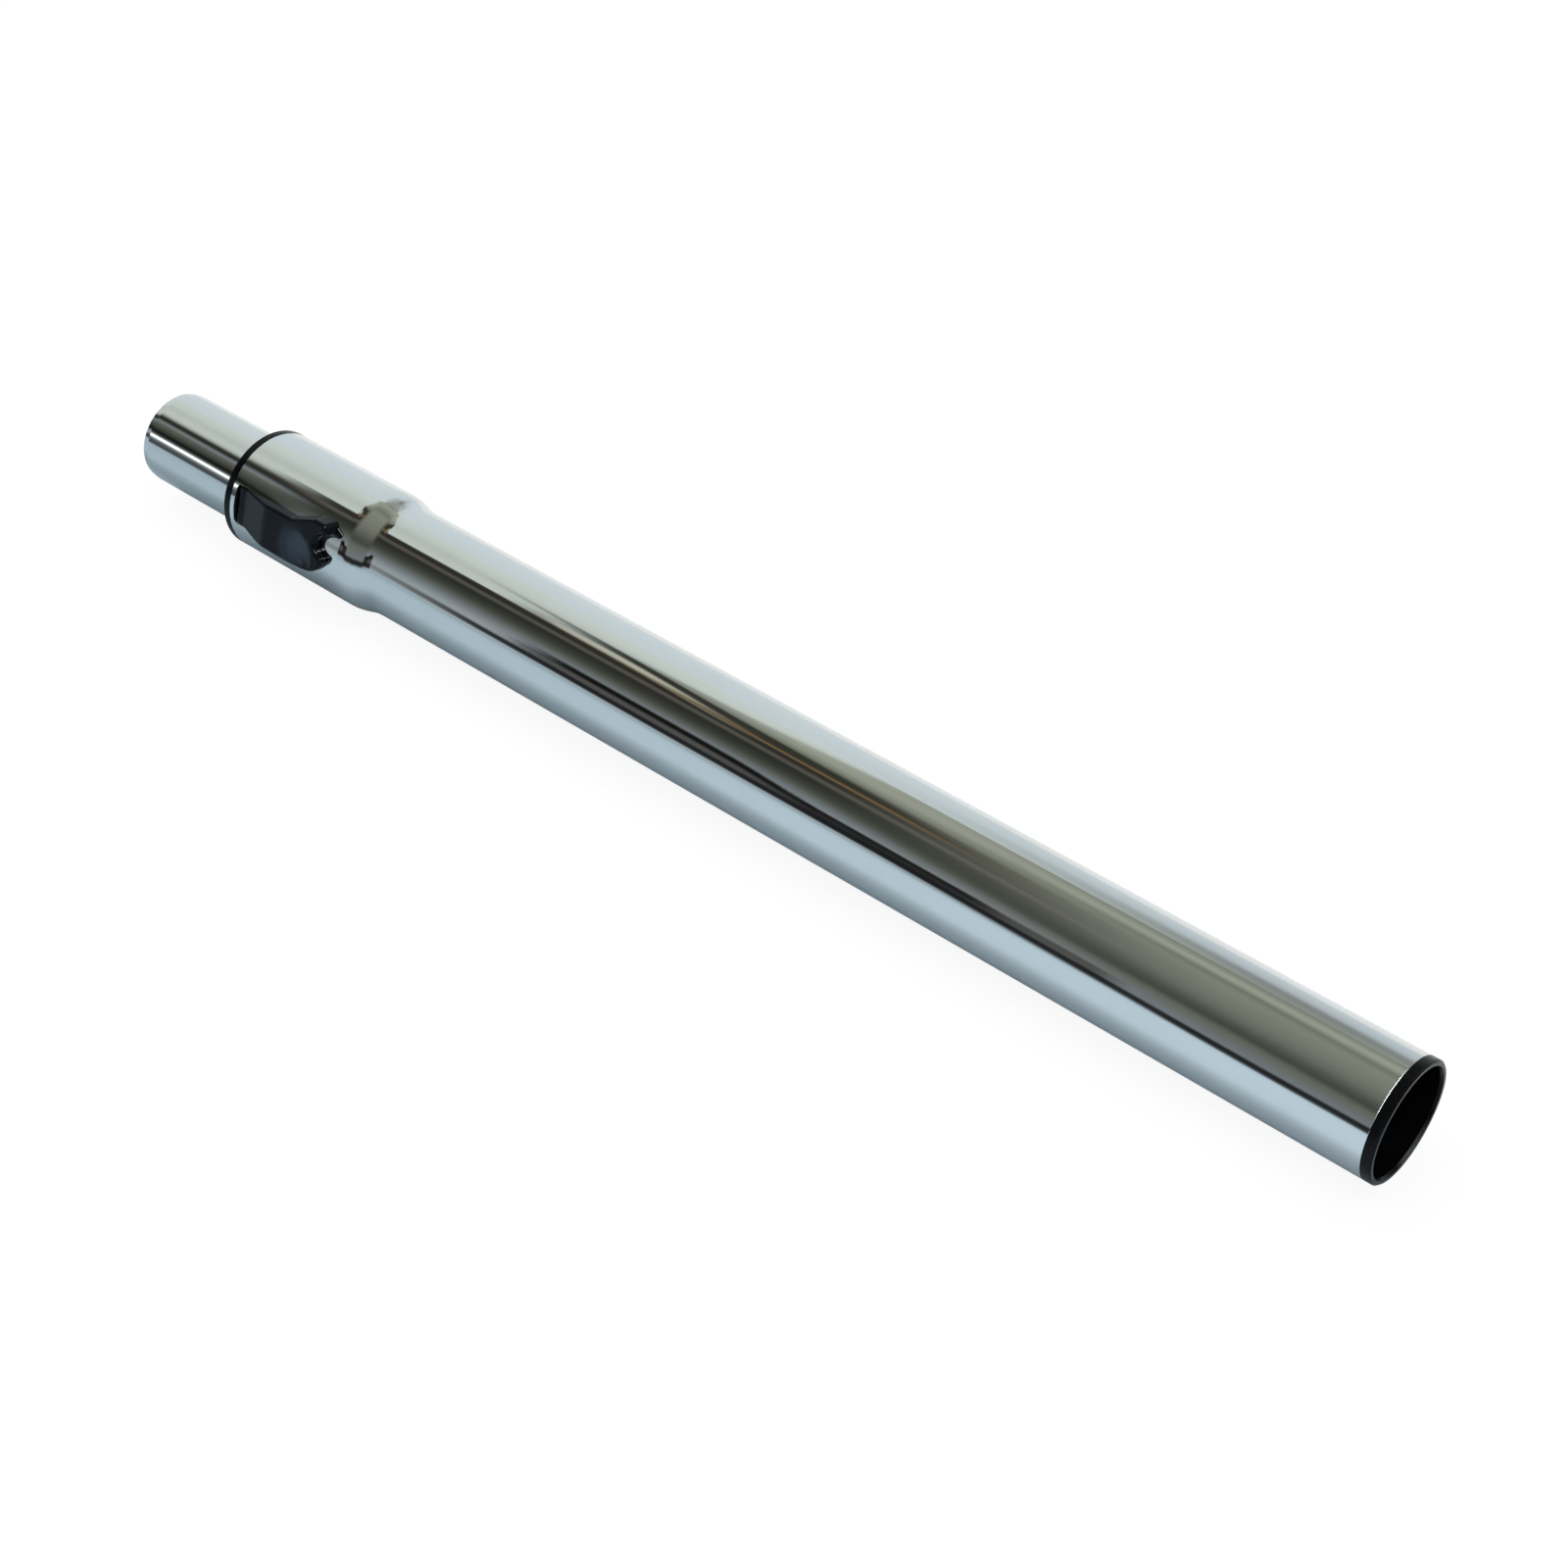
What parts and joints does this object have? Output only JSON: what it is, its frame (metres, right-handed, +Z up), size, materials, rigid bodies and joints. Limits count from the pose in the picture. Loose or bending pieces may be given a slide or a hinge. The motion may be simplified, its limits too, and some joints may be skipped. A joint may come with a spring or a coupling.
{
  "type": "telescopic vacuum wand",
  "caption": "Telescopic suction tube: a narrow chrome tube slides out of a wider one and locks on a roller that a thumb slide releases.",
  "frame": {"origin": "on the wand's axis, where the hose socket's bore begins behind its lead-in", "axes": "+X along the wand, out of the hose socket's mouth; +Z up as the wand lies; the thumb cap faces -Y and 18 degrees up"},
  "size_m": [0.525, 0.0486, 0.0444],
  "materials": {
    "chrome_tube": "bright chrome plate on steel tube",
    "black_plastic": "moulded black, half gloss",
    "button_plastic": "moulded blue-black, half gloss",
    "slide_plastic": "natural acetal",
    "seal_rubber": "soft black rubber",
    "spring_steel": "drawn spring wire",
    "roller_steel": "ground hardened steel"
  },
  "bodies": {
    "outer": {"outer_tube": "chrome_tube", "socket_bush": "black_plastic", "guide_sleeve": "black_plastic", "return_spring_left": "spring_steel", "return_spring_right": "spring_steel"},
    "inner": {"inner_tube": "chrome_tube", "end_guide": "black_plastic", "end_seal": "seal_rubber"},
    "slide": {"thumb_cap": "button_plastic", "slide_carrier": "slide_plastic"},
    "roller": {"lock_roller": "roller_steel"}
  },
  "joints": [
    {"name": "telescope_slide", "type": "slide", "parent": "outer", "child": "inner", "axis": [-1, 0, 0], "range_m": [0, 0.348]},
    {"name": "button_slide", "type": "slide", "parent": "outer", "child": "slide", "axis": [1, 0, 0], "range_m": [0, 0.006], "stiffness_N_per_m": 400, "springref_m": -0.003, "deforming": ["return_spring_left", "return_spring_right"]},
    {"name": "roller_lift", "type": "slide", "parent": "outer", "child": "roller", "axis": [0, -0.9511, 0.309], "range_m": [0, 0.0018]}
  ],
  "couplings": [
    {"joint": "roller_lift", "follows": "button_slide", "ratio": 0.29167}
  ]
}
